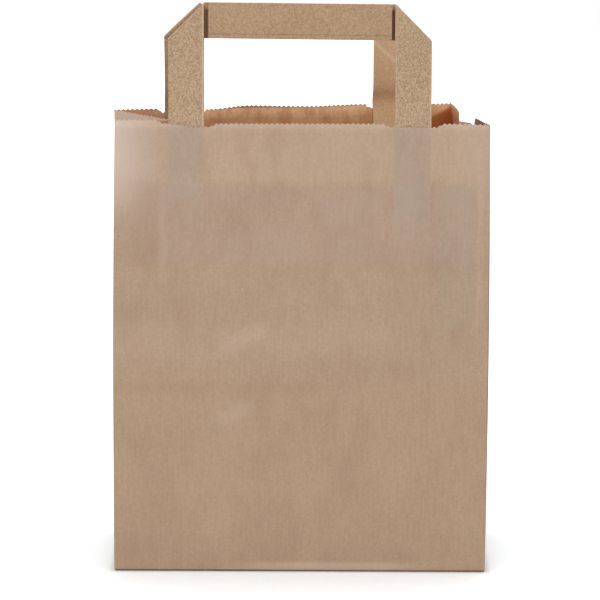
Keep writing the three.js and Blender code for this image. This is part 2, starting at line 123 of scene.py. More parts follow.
FOOT = {
    "front_left": Vector((-half_w, -half_d, 0)),
    "front_right": Vector((half_w, -half_d, 0)),
    "back_right": Vector((half_w, half_d, 0)),
    "back_left": Vector((-half_w, half_d, 0)),
    "left_crease": Vector((-half_w, 0, half_d)),
    "right_crease": Vector((half_w, 0, half_d)),
}
RIM = {
    "front_left": Vector((-half_w + FRONT_LEFT_IN, -half_d, HEIGHT)),
    "front_right": Vector((half_w, -half_d, HEIGHT)),
    "back_right": rim_corner(FOOT["back_right"], half_w - BACK_RIGHT_IN,
                             half_d - BACK_RIGHT_FORWARD),
    "back_left": rim_corner(FOOT["back_left"], -half_w - BACK_LEFT_OUT,
                            half_d - BACK_LEFT_FORWARD),
}
RIM["left_crease"] = crease_at_rim(FOOT["left_crease"], RIM["front_left"], RIM["back_left"], 1)
RIM["right_crease"] = crease_at_rim(FOOT["right_crease"], RIM["front_right"],
                                    RIM["back_right"], -1)

# Panels in the order that the sheet runs round the tube: from, to, width, bow
PANELS = {
    "front": ("front_left", "front_right", WIDTH, 0),
    "right_front": ("front_right", "right_crease", half_d, 0),
    "right_back": ("right_crease", "back_right", half_d, GUSSET_BOW),
    "back": ("back_right", "back_left", WIDTH, -BACK_BOW),
    "left_back": ("back_left", "left_crease", half_d, 0),
    "left_front": ("left_crease", "front_left", half_d, 0),
}

# Handles: their wall's sign, span, shift along the wall, lean and tilt
HANDLES = {
    "front": (1, HANDLE_SPAN, FRONT_SHIFT, 0, FRONT_TILT),
    "back": (-1, BACK_SPAN, BACK_SHIFT, BACK_LEAN, BACK_TILT),
}

# The back rim's own line on top of its bow, from right to left, in mm outward; the wall takes it on
# from this share of its height
BACK_LINE_FROM = 0.35
BACK_LINE = [(0, 0), (0.06, -1.4), (0.27, 2.2), (0.41, -1.5), (0.6, 3), (0.72, -4), (0.8, -3),
             (0.87, -2), (1, 0)]

# How many mm a panel's rim lies below its height, and above it where less than 0
RIM_DROPS = {
    "front": [(0, -1.6), (0.15, -1.6), (0.2, 0), (0.9, -0.3), (1, 0)],
    "right_front": [(0, 0), (0.48, -1.3), (0.52, 3), (0.62, 2.1), (1, 2.9)],
    "right_back": [(0, 2.9), (0.12, 1), (0.3, 0), (1, -1.5)],
    "back": [(0, -1.5), (0.6, -1.2), (0.71, -0.8), (0.8, -0.5), (0.88, -0.8), (1, 0)],
    "left_front": [(0, 0), (0.6, 0), (1, -1.6)],
}


def chord_of(name):
    first, last, _, _ = PANELS[name]
    return (RIM[last] - RIM[first]).length


def fold_at(fold, v):
    """A point of an upright fold or crease; the four corner folds bulge a little at mid height."""
    p = FOOT[fold].lerp(RIM[fold], v)
    if "crease" not in fold:
        p.x += EDGE_BULGE * sin(pi * v) * (1 if p.x > 0 else -1)
    return p


def on_panel(name, u, v):
    """A point of the sheet's outer face: u along the panel, v from its lower fold to the rim."""
    first, last, _, bow = PANELS[name]
    start, end = fold_at(first, v), fold_at(last, v)
    along = (end - start).normalized()
    outward = Vector((along.y, -along.x, 0))
    return start.lerp(end, u) + outward * (bow * v * sin(pi * u))


def outward_of(name, u, v):
    du = on_panel(name, u + 0.01, v) - on_panel(name, u - 0.01, v)
    dv = on_panel(name, u, v + 0.01) - on_panel(name, u, v - 0.01)
    return du.cross(dv).normalized()


# Small unevenness of handled paper, none of it at the folds

def uneven(p, seed):
    """Slow and quick waves of the paper, about plus or minus 1."""
    slow = noise.noise(Vector((p.x, p.y, p.z * 0.7)) * SLOW_WAVES + Vector((seed, 0, 0)))
    quick = noise.noise(Vector((p.x, p.y, p.z * 0.8)) * QUICK_WAVES + Vector((0, seed, 0)))
    return slow + QUICK_SHARE * quick


def front_marks(p):
    """Line that the folded base pressed in while the bag lay flat, the glued papers, two bumps."""
    line = -LINE_DENT * max(0.0, 1 - abs(p.z - LINE_HEIGHT) / LINE_REACH)
    line *= smooth((LINE_END - p.x) / LINE_FADE)
    patch = smooth((PATCH_WIDTH / 2 - abs(p.x - FRONT_SHIFT - PATCH_SHIFT)) / PATCH_SLOPE + 0.5)
    patch *= smooth((patch_top - p.z) / PATCH_SLOPE + 0.5)
    patch *= smooth((p.z - patch_low) / PATCH_SLOPE + 0.5)
    beside = abs(abs(p.x - FRONT_SHIFT) - leg_at)
    leg = smooth((TAPE_WIDTH / 2 - beside) / LEG_SLOPE + 0.5)
    leg *= smooth((p.z - HEIGHT + LEG_DEPTH) / LEG_SLOPE + 0.5)
    bumps = 0
    for x, z in BUMPS:
        distance = Vector((p.x - x, (p.z - z) * 0.8)).length
        bumps += BUMP_RELIEF * smooth((BUMP_RADIUS - distance) / BUMP_SLOPE)
    return line + PATCH_RELIEF * patch + LEG_RELIEF * leg + bumps


def relief(name, u, v, p):
    """How far the paper stands out from its even panel."""
    edge = min(u, 1 - u) * PANELS[name][2]
    calm = smooth(edge / FOLD_CALM) * smooth(p.z / FOOT_CALM)
    out = WALL_WAVE * uneven(p, len(name)) * calm
    if name == "front":
        out += front_marks(p) * smooth(edge / MARKS_CALM)
    if name == "back":
        crease = max(0.0, 1 - abs(p.z - half_d) / CREASE_REACH)
        out -= CREASE_DENT * crease * smooth(edge / CREASE_CALM)
        out += between(BACK_LINE, u) * MM * smooth((v - BACK_LINE_FROM) / (1 - BACK_LINE_FROM))
    return out


def sheet_point(name, u, v):
    p = on_panel(name, u, v)
    return p + outward_of(name, u, v) * relief(name, u, v, p)


# Pinked rim and rounded foot

def dip_at(name, distance):
    """Depth of the dip at this distance from the middle of a leg."""
    width, slope = DIPS[name]
    inside = (width / 2 - abs(distance)) / slope
    return DIP_DEPTH * min(max(inside + 0.5, 0), 1)


def rim_drop(name, i, u):
    """How far the rim lies below the wall's height at one of its teeth."""
    drop = (TOOTH_DEPTH if i % 2 else 0) - RIM_RAISE
    if name in HANDLES:
        sign, span, shift, _, _ = HANDLES[name]
        aside = abs(sign * (u - 0.5) * chord_of(name) - shift)
        drop += dip_at(name, aside - (span - TAPE_WIDTH) / 2)
    if name in RIM_DROPS:
        drop += between(RIM_DROPS[name], u) * MM
    return drop


def rounded_foot(p):
    """Pulls a point near the floor inward, so that the walls turn into the base on a radius."""
    if p.z >= FOOT_RADIUS:
        return p
    pull = FOOT_RADIUS - sqrt(FOOT_RADIUS ** 2 - (FOOT_RADIUS - p.z) ** 2)
    x = min(max(p.x, -half_w + pull), half_w - pull)
    y = min(max(p.y, -half_d + pull), half_d - pull)
    return Vector((x, y, p.z))


# Meshes

def mesh_object(name, points, faces, smooth_angle=40):
    """Object of the points and faces, with doubled points merged; the angle is in degrees."""
    merged = 0.01 * MM
    mesh = bpy.data.meshes.new(name)
    mesh.from_pydata([tuple(p) for p in points], [], faces)
    bm = bmesh.new()
    bm.from_mesh(mesh)
    bmesh.ops.remove_doubles(bm, verts=bm.verts, dist=merged)
    bmesh.ops.dissolve_degenerate(bm, edges=bm.edges, dist=merged)
    bm.to_mesh(mesh)
    bm.free()
    mesh.shade_smooth()
    mesh.set_sharp_from_angle(angle=radians(smooth_angle))
    obj = bpy.data.objects.new(name, mesh)
    bpy.context.scene.collection.objects.link(obj)
    return obj


def grid(rows, flip=False):
    """Points and quads of a grid given as rows of equal length."""
    size = len(rows[0])
    points = [p for row in rows for p in row]
    faces = [(r * size + k, r * size + k + 1, (r + 1) * size + k + 1, (r + 1) * size + k)
             for r in range(len(rows) - 1) for k in range(size - 1)]
    return points, [tuple(reversed(f)) for f in faces] if flip else faces


def tube(rows):
    """Closed skin through rows of equal outlines, with both ends filled."""
    size = len(rows[0])
    points = [p for row in rows for p in row]
    faces = [(r * size + k, r * size + (k + 1) % size,
              (r + 1) * size + (k + 1) % size, (r + 1) * size + k)
             for r in range(len(rows) - 1) for k in range(size)]
    last = (len(rows) - 1) * size
    faces += [tuple(reversed(range(size))), tuple(range(last, last + size))]
    return points, faces


def joined(parts):
    points, faces = [], []
    for some_points, some_faces in parts:
        base = len(points)
        points += some_points
        faces += [tuple(i + base for i in face) for face in some_faces]
    return points, faces


def thickened(obj, thickness, *materials):
    """Gives a sheet its thickness; the materials are its outer face, inner face and cut edge."""
    for material in materials:
        obj.data.materials.append(material)
    solid = obj.modifiers.new("thickness", "SOLIDIFY")
    solid.thickness, solid.offset, solid.use_even_offset = thickness, -1, True
    solid.thickness_clamp = 2
    if len(materials) == 3:
        solid.material_offset, solid.material_offset_rim = 1, 2
    depsgraph = bpy.context.evaluated_depsgraph_get()
    mesh = bpy.data.meshes.new_from_object(obj.evaluated_get(depsgraph))
    obj.modifiers.clear()
    obj.data = mesh
    return obj


def outward_faces(obj):
    bm = bmesh.new()
    bm.from_mesh(obj.data)
    bmesh.ops.recalc_face_normals(bm, faces=bm.faces)
    bm.to_mesh(obj.data)
    bm.free()
    return obj


# Body. Rows of a wall as shares of its height: close together on the foot's radius, then even, and
# the last one just below the dips and the crumpled rim
FIRST_ROW, LAST_ROW, RIM_ROW, WALL_STEPS = 3 * MM, HEIGHT - 7 * MM, HEIGHT - 4.8 * MM, 50
SIDE_STEPS, BASE_STEPS, BASE_ROWS, SEAM_STEPS = 14, 24, 12, 8
foot_rows = [FOOT_RADIUS * (1 - cos(radians(a))) for a in (0, 22, 45, 67, 90)]
wall_rows = [mix(FIRST_ROW, LAST_ROW, i / WALL_STEPS) for i in range(WALL_STEPS + 1)]
LEVELS = [z / HEIGHT for z in foot_rows + wall_rows + [RIM_ROW]]


def panel_grid(name):
    """A wall or half gusset, with two columns of its grid to each tooth of the rim."""
    count = 2 * round(PANELS[name][2] / TOOTH_PITCH)
    rows = []
    for v in LEVELS + [None]:
        row = []
        for i in range(count + 1):
            u = i / count
            height = 1 - rim_drop(name, i, u) / HEIGHT if v is None else v
            row.append(rounded_foot(sheet_point(name, u, height)))
        rows.append(row)
    return grid(rows)


def gusset_foot(x, flip):
    """Lower triangle of a side, between the base edge and the two diagonal creases."""
    rows = []
    for v in LEVELS:
        z = v * half_d
        reach = half_d - z
        rows.append([rounded_foot(Vector((x, mix(-reach, reach, k / SIDE_STEPS), z)))
                     for k in range(SIDE_STEPS + 1)])
    rows.append([Vector((x, 0, half_d))] * (SIDE_STEPS + 1))
    return grid(rows, flip)


def lap_seam():
    """The tube's glued lap: a second thickness of paper on the outside of the back wall."""
    first, last = SEAM_INSET / WIDTH, (SEAM_INSET + SEAM_WIDTH) / WIDTH
    rows = []
    for v in LEVELS[len(foot_rows) - 1:] + [1 - SEAM_BELOW_RIM / HEIGHT]:
        row = []
        for k in range(SEAM_STEPS + 1):
            u = mix(first, last, k / SEAM_STEPS)
            proud = SEAM_EDGE if k in (0, SEAM_STEPS) else PAPER
            row.append(sheet_point("back", u, v) + outward_of("back", u, v) * proud)
        rows.append(row)
    return grid(rows)


def bottom_flap(side, level, reach):
    """A bottom flap with its corners cut at 45 degrees by the folds; side -1 front, +1 back."""
    rows = []
    for t in (0, 0.02, 0.25, 0.5, 0.75, 0.98, 1):
        depth = mix(FOOT_RADIUS, reach, t)
        y = side * (half_d - depth)
        rows.append([Vector((mix(-half_w + depth, half_w - depth, k / BASE_STEPS), y, level))
                     for k in range(BASE_STEPS + 1)])
    return grid(rows, flip=side < 0)


def base_sheet(level):
    """Inner layer of the bottom, which the side flaps make once they are folded in."""
    across, back = half_w - FOOT_RADIUS, half_d - FOOT_RADIUS
    rows = [[Vector((mix(-across, across, k / BASE_STEPS), mix(-back, back, r / BASE_ROWS), level))
             for k in range(BASE_STEPS + 1)] for r in range(BASE_ROWS + 1)]
    return grid(rows, flip=True)


def bag_body(outside, inside, cut):
    walls = [panel_grid(name) for name in PANELS]
    sides = [gusset_foot(-half_w, True), gusset_foot(half_w, False)]
    sheet = mesh_object("bag_sheet", *joined(walls + sides), smooth_angle=50)
    reach = half_d + FLAP_LAP / 2
    flaps = [base_sheet(2 * PAPER), bottom_flap(1, PAPER, reach), bottom_flap(-1, 0.0, reach)]
    layers = mesh_object("bag_layers", *joined(flaps + [lap_seam()]))
    return (thickened(sheet, PAPER, outside, inside, cut),
            thickened(layers, PAPER * 0.98, outside, inside, cut))


# Handles and patches: places in the handle's own coordinates, a along the wall, b up from the rim
# and c inward. Steps of their meshes, the leg's below and above the rim, and a leg's slight sway
LEG_STEPS_IN, LEG_STEPS_OUT, BAR_STEPS, PLY_STEPS, FOLD_STEPS, TURN_STEPS = 16, 14, 32, 24, 8, 12
PATCH_STEP, PATCH_ROWS = 3 * MM, 12
EDGE_ROUNDING = 0.45  # radius of a tape's folded edge, as a share of its thickness
SWAY_TURNS, SWAY_SOFT, SWAY_END = 60, 15 * MM, 40 * MM  # radians per metre, soft ends, height
PLY_GAP = 0.1 * MM


def handle_place(name):
    """The place function of a handle: on its wall below the rim, in its own plane further up."""
    sign, span, shift, lean, tilt = HANDLES[name]
    leg = (span - TAPE_WIDTH) / 2
    chord = chord_of(name)

    def u_of(a):
        return 0.5 + sign * (a + shift) / chord

    def wall(a, b):
        return sheet_point(name, u_of(a), 1 + b / HEIGHT)

    across = wall(leg, 0) - wall(-leg, 0)
    across.z = 0
    across.normalize()
    middle = (wall(leg, 0) + wall(-leg, 0)) / 2
    up = Vector((0, sign * sin(lean), cos(lean)))
    facing = up.cross(across).normalized() * sign

    def place(a, b, c):
        blend = smooth(b / BEND_LENGTH)
        normal = -outward_of(name, u_of(a), 1 + min(b, 0) / HEIGHT)
        flat = middle + across * a + up * (b - tilt * a * blend)
        inward = normal.lerp(facing, blend).normalized()
        return wall(a, b).lerp(flat, blend) + inward * (PAPER + GLUE + c)

    return place


def tape_section(thick, wide):
    """Closed outline of the tape, with rounded folded edges."""
    r = min(thick, wide) * EDGE_ROUNDING
    corners = [(r, r, 180), (wide - r, r, 270), (wide - r, thick - r, 0), (r, thick - r, 90)]
    return [(e + r * cos(radians(start + 30 * k)), c + r * sin(radians(start + 30 * k)))
            for e, c, start in corners for k in range(4)]


def leg_sway(b, side):
    """Slight wave of a leg above the rim."""
    soft = smooth(b / SWAY_SOFT) * smooth((SWAY_END - b) / SWAY_SOFT)
    return LEG_SWAY * sin(b * SWAY_TURNS + side) * soft


def bar_wave(t):
    """Slight wave along the bar."""
    return BAR_WAVE * sin(pi * (t + 1)) * (1 - abs(t))


def tape_leg(place, span, side):
    """A leg, from its end under the patch to the corner fold, with a top at 45 degrees."""
    section = tape_section(TAPE_THICK, TAPE_WIDTH)
    top = HANDLE_RISE - TAPE_WIDTH - FOLD_INSET
    levels = [mix(-LEG_DEPTH, 0, k / LEG_STEPS_IN) for k in range(LEG_STEPS_IN + 1)]
    levels += [mix(0, top, k / LEG_STEPS_OUT) for k in range(1, LEG_STEPS_OUT + 1)]
    rows = []
    for b in levels:
        slope = 1 if b == levels[-1] else 0
        rows.append([place(side * (span / 2 - e), b + slope * e, c + leg_sway(b, side))
                     for e, c in section])
    return tube(rows)


def tape_bar(place, span):
    """The bar behind the legs, without the outermost ply of its front face."""
    section = tape_section(TAPE_THICK - PLY_THICK, TAPE_WIDTH)
    low = HANDLE_RISE - TAPE_WIDTH
    rows = []
    for k in range(BAR_STEPS + 1):
        t = mix(-1, 1, k / BAR_STEPS)
        rows.append([place(t * (span / 2 - e - FOLD_INSET), low + e,
                           2 * TAPE_THICK - c + bar_wave(t)) for e, c in section])
    return tube(rows)


def bar_ply(place, span):
    """Outermost ply of the bar: it ends above the lower edge and a little before both legs."""
    section = tape_section(PLY_PROUD, TAPE_WIDTH - PLY_INSET - PLY_GAP)
    low = HANDLE_RISE - TAPE_WIDTH + PLY_INSET
    reach = span / 2 - TAPE_WIDTH - PLY_END
    rows = []
    for k in range(PLY_STEPS + 1):
        t = mix(-1, 1, k / PLY_STEPS)
        wave = bar_wave(t * reach / (span / 2))
        rows.append([place(t * reach, low + e, TAPE_THICK + PLY_THICK - c + wave)
                     for e, c in section])
    return tube(rows)


def corner_fold(place, span, side):
    """The tape's turn from leg to bar: a half round along the 45 degree fold."""
    low = HANDLE_RISE - TAPE_WIDTH
    tuck = -TAPE_THICK - FOLD_TUCK
    rows = []
    for k in range(FOLD_STEPS + 1):
        along = mix(0, TAPE_WIDTH * sqrt(2), k / FOLD_STEPS)
        trim = 1 - 2 * k / FOLD_STEPS
        ring = []
        for j in range(TURN_STEPS + 1):
            turn = pi * j / TURN_STEPS
            out = TAPE_THICK * (sin(turn) - 1)
            ring.append((along + out * trim, out, TAPE_THICK * (1 - cos(turn))))
        inside = along + (tuck + FOLD_TRIM) * trim
        ring += [(inside, tuck, 2 * TAPE_THICK - FOLD_SKIN), (inside, tuck, FOLD_SKIN)]
        rows.append([place(side * (span / 2 - (s - o) / sqrt(2)), low + (s + o) / sqrt(2), c)
                     for s, o, c in ring])
    return tube(rows)


def tape_handle(wall, material):
    place, span = handle_place(wall), HANDLES[wall][1]
    parts = [tape_bar(place, span), bar_ply(place, span)]
    for side in (-1, 1):
        parts += [tape_leg(place, span, side), corner_fold(place, span, side)]
    handle = outward_faces(mesh_object(wall + "_tape", *joined(parts), smooth_angle=35))
    handle.data.materials.append(material)
    return handle


def patch_sheet(wall, material):
    """The glued patch: on the wall, and in a step over both legs."""
    place = handle_place(wall)
    sign, span = HANDLES[wall][:2]
    outer, inner, shift = span / 2, span / 2 - TAPE_WIDTH, sign * PATCH_SHIFT
    over = TAPE_THICK + GLUE
    step = [(inner - PATCH_CLEAR - PATCH_RAMP, 0), (inner - PATCH_CLEAR, over),
            (outer + PATCH_CLEAR, over), (outer + PATCH_CLEAR + PATCH_RAMP, 0)]
    knots = [(shift - PATCH_WIDTH / 2, 0)] + [(-a, c) for a, c in reversed(step)]
    knots += step + [(shift + PATCH_WIDTH / 2, 0)]
    path = [knots[0]]
    for (a0, c0), (a1, c1) in zip(knots, knots[1:]):
        parts = max(1, round((a1 - a0) / PATCH_STEP))
        path += [(mix(a0, a1, k / parts), mix(c0, c1, k / parts)) for k in range(1, parts + 1)]
    rows = []
    for k in range(PATCH_ROWS + 1):
        b = mix(-PATCH_BELOW_RIM - PATCH_HEIGHT, -PATCH_BELOW_RIM, k / PATCH_ROWS)
        rows.append([place(a, b, c + PAPER) for a, c in path])
    return thickened(mesh_object(wall + "_patch_sheet", *grid(rows)), PAPER, material)


# Shader nodes. A colour of three numbers is sRGB, 0 to 255, and one of four is a scene colour

def linear(r, g, b):
    """Scene colour of an sRGB colour."""
    return tuple(((c / 255 + 0.055) / 1.055) ** 2.4 for c in (r, g, b)) + (1.0,)


class Nodes:
    """Short way to add and link the shader nodes of a material."""

    def __init__(self, name):
        self.material = bpy.data.materials.new(name)
        self.material.use_nodes = True
        self.tree = self.material.node_tree
        self.shader = self.tree.nodes["Principled BSDF"].inputs
        self.place = self.add("ShaderNodeTexCoord").outputs["Object"]

    def add(self, kind, **settings):
        node = self.tree.nodes.new(kind)
        for key, value in settings.items():
            setattr(node, key, value)
        return node

    def put(self, socket, value):
        if isinstance(value, bpy.types.NodeSocket):
            self.tree.links.new(value, socket)
        else:
            socket.default_value = value

    def parts(self, vector):
        """x, y and z of a vector."""
        node = self.add("ShaderNodeSeparateXYZ")
        self.put(node.inputs[0], vector)
        return node.outputs

    def normal(self):
        """x, y and z of the surface's own direction."""
        return self.parts(self.add("ShaderNodeNewGeometry").outputs["True Normal"])

    def math(self, operation, *values):
        node = self.add("ShaderNodeMath", operation=operation)
        for socket, value in zip(node.inputs, values):
            self.put(socket, value)
        return node.outputs[0]

    def times(self, *factors):
        """Product of the factors."""
        product = factors[0]
        for factor in factors[1:]:
            product = self.math("MULTIPLY", product, factor)
        return product

    def ramp(self, value, low, high):
        """0 at low and 1 at high, smooth between them."""
        node = self.add("ShaderNodeMapRange", interpolation_type="SMOOTHSTEP")
        for socket, item in zip(node.inputs, (value, low, high)):
            self.put(socket, item)
        return node.outputs[0]

    def span(self, value, low, high, soft):
        """1 between low and high, with soft ends."""
        rise = self.ramp(value, low - soft / 2, low + soft / 2)
        fall = self.ramp(value, high - soft / 2, high + soft / 2)
        return self.math("SUBTRACT", rise, fall)

    def noise(self, scale, stretch=(1, 1, 1), detail=2.0, roughness=0.5, offset=0.0):
        mapping = self.add("ShaderNodeMapping")
        self.put(mapping.inputs["Vector"], self.place)
        mapping.inputs["Scale"].default_value = stretch
        mapping.inputs["Location"].default_value = (offset, offset * 0.7, offset * 0.3)
        node = self.add("ShaderNodeTexNoise")
        self.put(node.inputs["Vector"], mapping.outputs[0])
        self.put(node.inputs["Scale"], scale)
        self.put(node.inputs["Detail"], detail)
        self.put(node.inputs["Roughness"], roughness)
        return node.outputs["Fac"]

    def tint(self, color, other, *factors, blend="MIX"):
        """The colour, tinted with another one by the product of the factors."""
        node = self.add("ShaderNodeMix", data_type="RGBA", blend_type=blend)
        self.put(node.inputs["Factor"], self.times(*factors))
        for socket, value in (("A", color), ("B", other)):
            is_srgb = isinstance(value, tuple) and len(value) == 3
            self.put(node.inputs[socket], linear(*value) if is_srgb else value)
        return node.outputs["Result"]

    def paint(self, color):
        """Gives the material its colour, and returns it."""
        self.put(self.shader["Base Color"], color)
        return self.material


# Kraft paper

def kraft(name, light, dark, fleck, streak=(1, 1, 0.07), cloudy=0.30, streaky=0.30, grain=1.0,
          fine=700, soft=0.20):
    """Brown kraft paper: cloudy formation, fibre streaks, dark and pale fibres, fine tooth."""
    n = Nodes(name)
    cloud = n.noise(38, detail=3, roughness=0.6)
    floc = n.noise(fine, detail=3, roughness=0.7, offset=3)
    fibre = n.noise(1100, stretch=streak, detail=4, roughness=0.7, offset=7)
    tone = n.math("ADD", n.times(cloud, cloudy), n.times(floc, 1 - cloudy - streaky))
    tone = n.math("ADD", tone, n.times(fibre, streaky))
    color = n.tint(dark, light, n.ramp(tone, 0.5 - soft, 0.5 + soft))
    specks = n.ramp(n.noise(1500, stretch=(1, 1, 0.4), detail=1, offset=11), 0.70, 0.80)
    color = n.tint(color, fleck, specks, 0.35)
    pale = n.ramp(n.noise(1300, stretch=(1, 1, 0.25), detail=1, offset=17), 0.70, 0.80)
    color = n.tint(color, (222, 202, 176), pale, 0.22)
    bump = n.add("ShaderNodeBump")
    bump.inputs["Strength"].default_value = 0.35 * grain
    bump.inputs["Distance"].default_value = 0.12 * MM
    n.put(bump.inputs["Height"], n.math("ADD", n.times(floc, 0.7), n.times(fibre, 0.5)))
    n.put(n.shader["Normal"], bump.outputs[0])
    n.put(n.shader["Roughness"], n.math("MULTIPLY_ADD", floc, 0.16, 0.72))
    n.put(n.shader["Specular IOR Level"], 0.28)
    n.put(n.shader["Sheen Weight"], 0.08)
    n.put(n.shader["Sheen Roughness"], 0.5)
    n.paint(color)
    return n, color


# Tones of the front wall: left, right, low and high edge, slope, softness (mm), strength, colour
FRONT_TONES = [
    (-100, 100, -20, 100, 0, 40, 0.12, (176, 146, 108)),
    (64.5, 82, 118, 187, 0, 4, 0.22, (166, 151, 134)),
    (-81, -67, 148, 188, 0, 8, 0.32, (154, 126, 108)),
    (-100, 12, 87, 92, 0, 6, 0.20, (156, 126, 98)),
    (-100, 45, 104, 122, 0, 12, 0.09, (204, 177, 156)),
    # Painted highlights on the two bumps
    (-38, -15, 121, 128, 0.4, 9, 0.17, (214, 192, 174)),
    (-42, -23, 85, 92, 0.35, 9, 0.15, (212, 188, 170)),
    # Painted highlights along both ends of the patch
    (-67, -64, 140, 188, 0, 4, 0.10, (212, 188, 172)),
    (83, 86, 120, 205, 0, 4, 0.14, (212, 188, 170)),
]


def behind_front(n, y):
    """1 everywhere but on the front wall's own faces."""
    return n.ramp(y, -35 * MM, -25 * MM)


def body_paper():
    """Outer face, with the handle legs and the patch showing through the front wall."""
    n, color = kraft("body_paper", light=(181, 154, 130), dark=(163, 136, 114),
                     fleck=(118, 92, 71))
    x, y, z = n.parts(n.place)
    front = n.ramp(y, -half_d + 1.5 * MM, -half_d + 0.8 * MM)

    # Patch and legs show where the glue holds them; the left leg fades out 15 mm higher up
    aside = n.math("ABSOLUTE", n.math("SUBTRACT", x, FRONT_SHIFT))
    faded = n.math("MULTIPLY_ADD", n.ramp(x, 10 * MM, -10 * MM), -15 * MM, z)
    leg_end = HEIGHT - LEG_DEPTH
    leg = n.times(n.span(aside, leg_at - TAPE_WIDTH / 2, leg_at + TAPE_WIDTH / 2, 1.6 * MM),
                  n.ramp(faded, leg_end + 6 * MM, leg_end + 26 * MM))
    patch_left = FRONT_SHIFT + PATCH_SHIFT - PATCH_WIDTH / 2
    patch_right = patch_left + PATCH_WIDTH
    patch = n.times(n.span(x, patch_left, patch_right, 2 * MM),
                    n.span(z, patch_low, patch_top, 2 * MM))
    uneven_glue = n.ramp(n.noise(60, detail=2, offset=23), 0.3, 0.65)
    glue = n.times(front, n.math("MULTIPLY_ADD", uneven_glue, 0.5, 0.6))
    color = n.tint(color, (170, 149, 137), patch, glue, 0.27)
    color = n.tint(color, (172, 158, 143), leg, glue, 0.42)

    # Tones of the front wall, among them painted highlights, and the paler paper above the patch
    for left, right, low, high, slope, soft, strength, tone in FRONT_TONES:
        across = n.span(x, left * MM, right * MM, soft * MM)
        sloping = n.math("MULTIPLY_ADD", x, -slope, z)
        upward = n.span(sloping, low * MM, high * MM, soft * MM)
        color = n.tint(color, tone, across, upward, front, strength)
    above = n.times(n.ramp(z, patch_top - 1 * MM, patch_top + 5 * MM),
                    n.span(x, patch_left, patch_right, 16 * MM))
    color = n.tint(color, (206, 178, 154), above, front, n.math("SUBTRACT", 1.0, leg), 0.22)
    blotch = n.noise(95, stretch=(1, 1, 0.5), detail=3, roughness=0.6, offset=31)
    color = n.tint(color, (144, 114, 90), n.ramp(blotch, 0.45, 0.7), 0.15)

    # Painted light on the upper left corner and its gusset, and a little paler paper at the upper
    # right one
    _, facing_y, facing_z = n.normal()
    gusset = n.times(n.ramp(facing_y, 0.4, 0.1), n.ramp(z, 185 * MM, 212 * MM), 0.3)
    color = n.tint(color, (212, 192, 180), n.ramp(x, -60 * MM, -92 * MM),
                   n.ramp(z, 155 * MM, 202 * MM), n.math("MAXIMUM", n.times(front, 0.72), gusset))
    color = n.tint(color, (206, 188, 172), n.ramp(x, 66 * MM, 90 * MM),
                   n.ramp(z, 150 * MM, 205 * MM), 0.25)

    # Edges: painted shade on the front wall's side folds, a painted light strip above the foot, a
    # painted contact shadow at the foot, and paler paper with a painted highlight along the rim
    fold = n.ramp(n.math("ABSOLUTE", x), half_w - 0.4 * MM, half_w + 0.5 * MM)
    color = n.tint(color, (104, 78, 60), fold, front, 0.35)
    color = n.tint(color, (204, 184, 168), n.span(z, 0.5 * MM, 4.5 * MM, 3 * MM),
                   n.span(x, -25 * MM, 55 * MM, 40 * MM), 0.4)
    color = n.tint(color, (66, 54, 46), n.ramp(z, 1.2 * MM, 0.4 * MM),
                   n.ramp(facing_z, -0.95, -0.7), 0.8)
    return n.paint(n.tint(color, (216, 196, 178), n.ramp(z, HEIGHT - 3 * MM, HEIGHT), 0.25))


def inside_paper():
    """Inner face: warmer in painted light, as if lit through the walls, and deeper in colour
    further down in painted shade.
    """
    n, color = kraft("inside_paper", light=(224, 181, 140), dark=(204, 156, 112),
                     fleck=(126, 86, 56))
    x, y, z = n.parts(n.place)
    # Painted shade: a deeper orange further below the rim
    color = n.tint(color, (214, 146, 88), n.ramp(z, HEIGHT - 2 * MM, HEIGHT - 30 * MM), 0.45)
    color = n.tint(color, (150, 112, 84), n.ramp(x, -50 * MM, -60 * MM), 0.6)

    # Painted shadow: deep brown under a slanting line in the right gusset, most of all at its back
    line = n.math("MULTIPLY_ADD", x, 0.5, HEIGHT - 37.5 * MM)
    under = n.ramp(n.math("SUBTRACT", line, z), -1 * MM, 1 * MM)
    deep = n.math("MULTIPLY_ADD", n.ramp(y, 36 * MM, 41 * MM), 0.4, 0.52)
    color = n.tint(color, (170, 86, 20), n.ramp(x, 60 * MM, 64 * MM), under, deep)

    # Painted light on the gusset's pale front half, and painted shade on its dark torn tip
    high = n.ramp(z, HEIGHT - 7 * MM, HEIGHT - 4 * MM)
    color = n.tint(color, (200, 178, 158), n.ramp(x, 72 * MM, 74 * MM),
                   n.ramp(y, 0.5 * MM, -1.5 * MM), high, 0.85)
    color = n.tint(color, (110, 82, 62), n.ramp(x, 82 * MM, 83 * MM), high)

    # Behind the front wall: mottled, with painted shade along an edge that follows the back rim's
    # rise
    behind = behind_front(n, y)
    mottled = n.noise(110, stretch=(1, 1, 0.6), detail=3, roughness=0.6, offset=37)
    color = n.tint(color, (180, 118, 68), n.ramp(mottled, 0.46, 0.60), behind, 0.42)
    along = n.math("MULTIPLY_ADD", x, -0.012, z)
    edge = n.ramp(along, HEIGHT - 0.2 * MM, HEIGHT + 0.4 * MM)
    return n.paint(n.tint(color, (112, 88, 70), behind, edge, 0.8))


